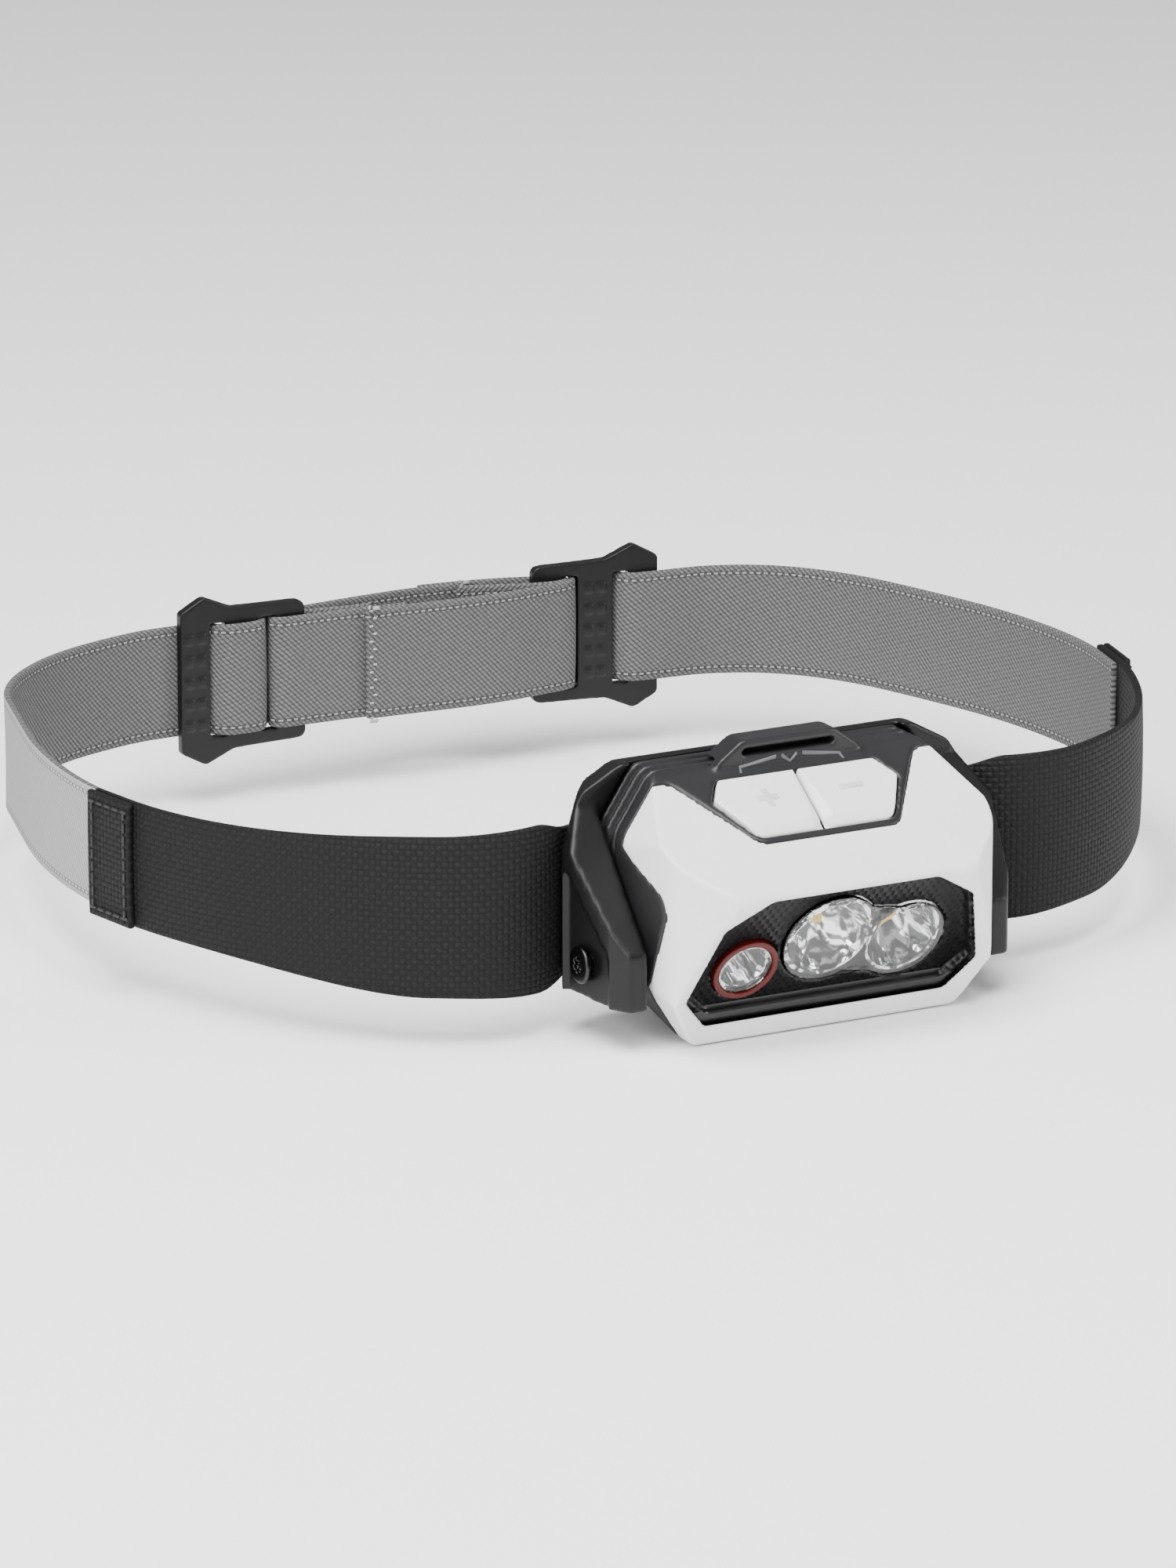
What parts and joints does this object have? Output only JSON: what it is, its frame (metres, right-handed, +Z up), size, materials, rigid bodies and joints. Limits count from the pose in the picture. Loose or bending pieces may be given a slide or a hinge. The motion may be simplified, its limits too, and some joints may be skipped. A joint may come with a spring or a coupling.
{
  "type": "headlamp",
  "caption": "White and black headlamp with a twin lens, a small near light and two top keys, tilting in a bracket on an elastic head strap with two sliders.",
  "frame": {"origin": "centre of the head opening inside the strap, half way up the strap", "axes": "+Z up along the wearer's head, -Y the way the lamp faces, +X the wearer's left as they face -Y"},
  "size_m": [0.1925, 0.1783, 0.0458],
  "materials": {
    "white_shell": "satin moulded off-white plastic",
    "dark_shell": "satin dark grey plastic",
    "black_plastic": "fine-grained black nylon",
    "panel_black": "semi-gloss black with a scale texture",
    "clear_lens": "clear moulded lens",
    "ring_red": "dark red gloss plastic",
    "mirror_bowl": "metallised bowl",
    "led_yellow": "phosphor",
    "led_red": "red emitter",
    "board_green": "solder mask",
    "steel": "zinc-plated steel",
    "screw_black": "black-oxide steel",
    "cell_jacket": "plain printed jacket",
    "seal_rubber": "matte",
    "webbing_black": "coarse basket-weave webbing",
    "elastic_grey": "knitted elastic, twill on the inside"
  },
  "bodies": {
    "root": {"bracket": "black_plastic", "pivot_screws": "screw_black", "front_webbing": "webbing_black", "elastic_left": "elastic_grey", "elastic_right": "elastic_grey"},
    "rear_case_body": {"rear_case": "dark_shell", "hinge_pin": "steel", "aaa_cell_bottom": "cell_jacket", "aaa_cell_middle": "cell_jacket", "aaa_cell_top": "cell_jacket", "contact_left": "steel", "contact_right": "steel", "cell_springs": "steel"},
    "front_shell_body": {"front_housing": "dark_shell", "bezel": "white_shell", "lens_panel": "panel_black", "twin_lens": "clear_lens", "near_lens": "clear_lens", "near_ring": "ring_red", "flood_reflector": "mirror_bowl", "spot_reflector": "mirror_bowl", "near_reflector": "mirror_bowl", "flood_led": "led_yellow", "spot_led": "led_yellow", "near_led": "led_red", "led_board": "board_green", "board_screws": "steel", "key_board": "board_green", "key_switches": "steel", "inner_cover": "dark_shell", "case_gasket": "seal_rubber"},
    "plus_key_body": {"plus_key": "white_shell"},
    "minus_key_body": {"minus_key": "white_shell"},
    "slider_left_body": {"slider_left": "black_plastic"},
    "slider_right_body": {"slider_right": "black_plastic"}
  },
  "joints": [
    {"name": "lamp_tilt", "type": "hinge", "parent": "root", "child": "rear_case_body", "pos_m": [0, -0.0801, -0.0094], "axis": [1, 0, 0], "range_deg": [0, 45]},
    {"name": "case_open", "type": "hinge", "parent": "rear_case_body", "child": "front_shell_body", "pos_m": [0, -0.0775, -0.0189], "axis": [1, 0, 0], "range_deg": [0, 65]},
    {"name": "plus_press", "type": "slide", "parent": "front_shell_body", "child": "plus_key_body", "axis": [0, 0.5198, -0.8543], "range_m": [0, 0.0006], "stiffness_N_per_m": 400},
    {"name": "minus_press", "type": "slide", "parent": "front_shell_body", "child": "minus_key_body", "axis": [0, 0.5198, -0.8543], "range_m": [0, 0.0006], "stiffness_N_per_m": 400},
    {"name": "slider_left_slide", "type": "slide", "parent": "root", "child": "slider_left_body", "axis": [1, 0, 0], "range_m": [-0.004, 0.004]},
    {"name": "slider_right_slide", "type": "slide", "parent": "root", "child": "slider_right_body", "axis": [0.9945, -0.1045, 0], "range_m": [-0.004, 0.004]}
  ]
}
